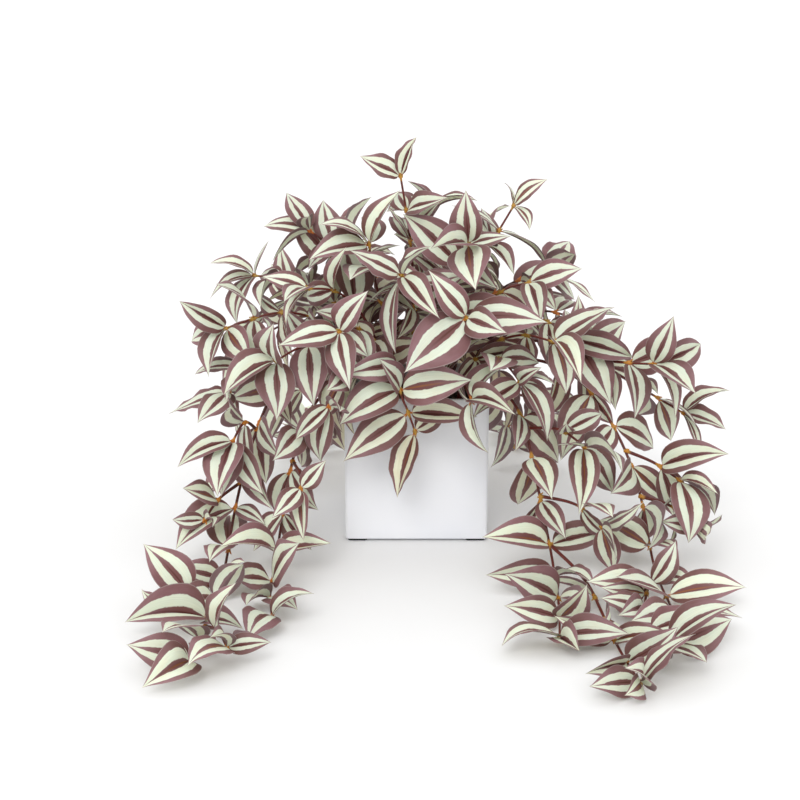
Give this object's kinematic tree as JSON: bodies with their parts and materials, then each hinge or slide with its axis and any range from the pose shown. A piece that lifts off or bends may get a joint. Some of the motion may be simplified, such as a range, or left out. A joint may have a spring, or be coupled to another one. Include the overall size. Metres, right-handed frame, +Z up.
{
  "type": "potted tradescantia",
  "caption": "Bushy trailing tradescantia with striped leaves, planted in a square white cover pot on low pads; its long shoots lie out along the surface.",
  "frame": {"origin": "middle of the plant's reach, on the surface that the pot's pads stand on", "axes": "+X to the right of the front view, +Y to the back, +Z up"},
  "size_m": [0.5198, 0.7166, 0.3632],
  "materials": {
    "pot": "smooth satin white glaze",
    "foot": "matt black pad",
    "soil": "loose dark potting mix of bark and peat",
    "leaf": "satin leaf with mauve and pale green-white stripes along it, dark red stems"
  },
  "bodies": {
    "root": {"pot": "pot", "foot_front_left": "foot", "foot_front_right": "foot", "foot_back_right": "foot", "foot_back_left": "foot", "soil": "soil", "shoot_top_sprig": "leaf", "shoot_top_left_sprig": "leaf", "shoot_top_right_sprig": "leaf", "shoot_star_front_right": "leaf", "shoot_star_front_left": "leaf", "shoot_front_sprig": "leaf", "shoot_star_right": "leaf", "shoot_right_high": "leaf", "shoot_right_middle": "leaf", "shoot_left_high": "leaf", "shoot_left_far": "leaf", "shoot_crown_front": "leaf", "shoot_crown_front_right": "leaf", "shoot_crown_front_left": "leaf", "shoot_crown_left": "leaf", "shoot_crown_right": "leaf", "shoot_crown_left_top": "leaf", "shoot_crown_right_top": "leaf", "shoot_crown_top_left": "leaf", "shoot_crown_top_back": "leaf", "shoot_crown_back_left": "leaf", "shoot_crown_back_right": "leaf", "shoot_crown_back": "leaf", "shoot_crown_left_side": "leaf", "shoot_crown_right_side": "leaf", "shoot_crown_left_back": "leaf", "shoot_crown_right_back": "leaf", "shoot_rim_left": "leaf", "shoot_rim_back_left": "leaf", "shoot_rim_back_right": "leaf", "shoot_rim_right": "leaf", "shoot_left_trail": "leaf", "shoot_left_inner_trail": "leaf", "shoot_left_low_branch": "leaf", "shoot_left_upper_twig": "leaf", "shoot_left_middle_twig": "leaf", "shoot_left_floor_twig": "leaf", "shoot_left_end_twig": "leaf", "shoot_left_inner_twig": "leaf", "shoot_right_far": "leaf", "shoot_right_far_twig": "leaf", "shoot_right_outer_trail": "leaf", "shoot_right_outer_twig": "leaf", "shoot_right_outer_side": "leaf", "shoot_right_outer_low": "leaf", "shoot_right_trail": "leaf", "shoot_right_upper_twig": "leaf", "shoot_right_middle_twig": "leaf", "shoot_right_floor_branch": "leaf", "shoot_right_end_twig": "leaf", "shoot_back_left_trail": "leaf", "shoot_back_right_trail": "leaf", "shoot_back_left_twig": "leaf", "shoot_back_right_twig": "leaf"}
  },
  "joints": []
}
